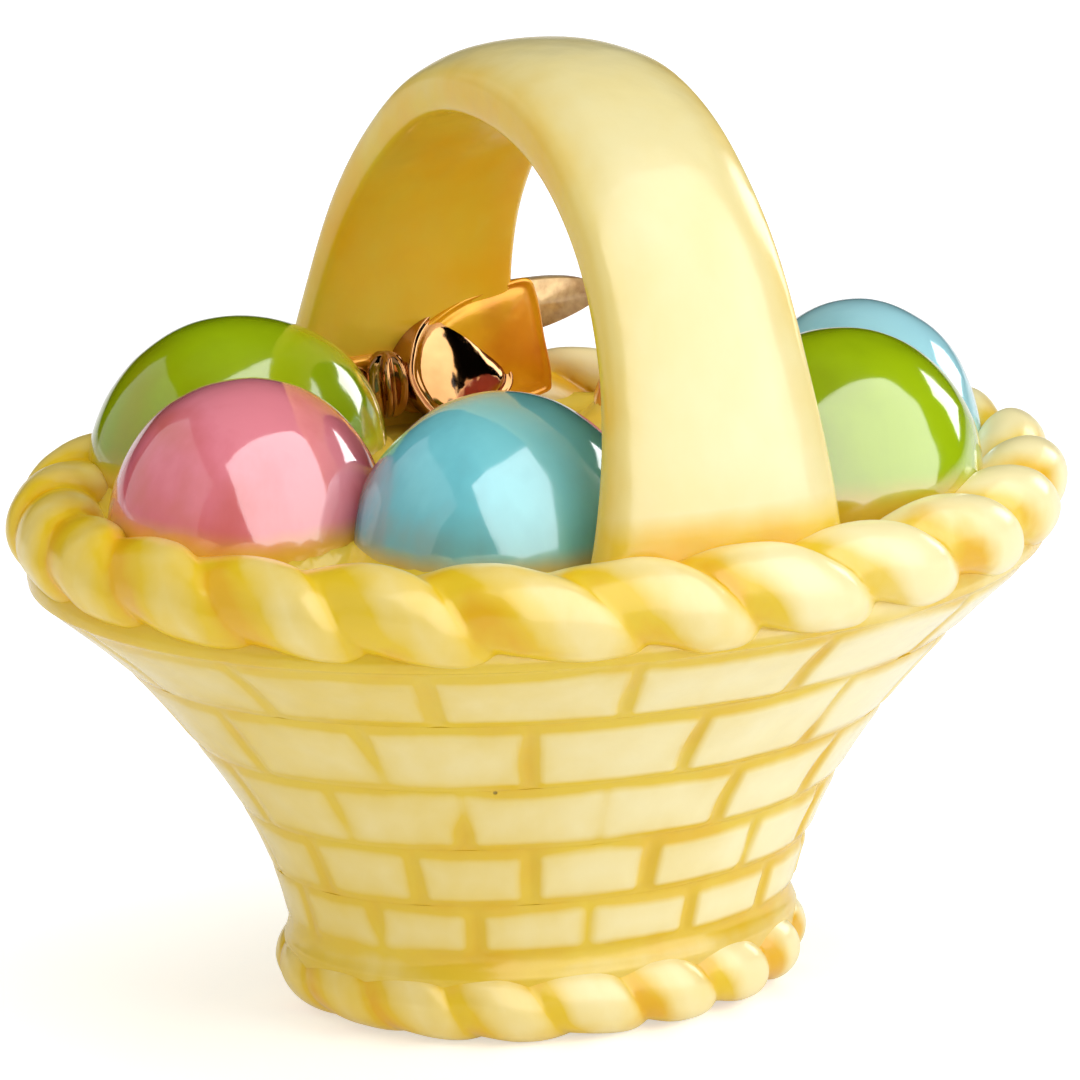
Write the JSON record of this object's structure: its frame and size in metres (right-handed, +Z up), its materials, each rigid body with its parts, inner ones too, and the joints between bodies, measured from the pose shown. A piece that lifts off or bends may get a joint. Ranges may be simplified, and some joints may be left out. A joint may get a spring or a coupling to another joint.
{
  "type": "easter basket figurine",
  "caption": "Small glazed ceramic basket with a flaring woven-look wall, rope rims, an arched strap handle, painted eggs and a gold bow.",
  "frame": {"origin": "on the standing surface, under the middle of the oval basket", "axes": "+X along the basket's long axis, +Y along the handle's span towards the leg with the bow, +Z up"},
  "size_m": [0.056, 0.0446, 0.0492],
  "materials": {
    "yellow_glaze": "gloss",
    "green_glaze": "gloss",
    "pink_glaze": "gloss",
    "blue_glaze": "gloss",
    "gold_lustre": "polished"
  },
  "bodies": {
    "root": {"basket_shell": "yellow_glaze", "rim_rope": "yellow_glaze", "foot_rope": "yellow_glaze", "handle": "yellow_glaze", "egg_bed": "yellow_glaze", "weave_course_1": "yellow_glaze", "weave_course_2": "yellow_glaze", "weave_course_3": "yellow_glaze", "weave_course_4": "yellow_glaze", "weave_course_5": "yellow_glaze", "egg_green_left": "green_glaze", "egg_green_right": "green_glaze", "egg_pink_left": "pink_glaze", "egg_pink_right": "pink_glaze", "egg_blue_left": "blue_glaze", "egg_blue_right": "blue_glaze", "bow_knot": "gold_lustre", "bow_loop_right": "gold_lustre", "bow_loop_left": "gold_lustre", "ribbon_band": "gold_lustre", "bow_tail_right": "gold_lustre", "bow_tail_left": "gold_lustre"}
  },
  "joints": []
}
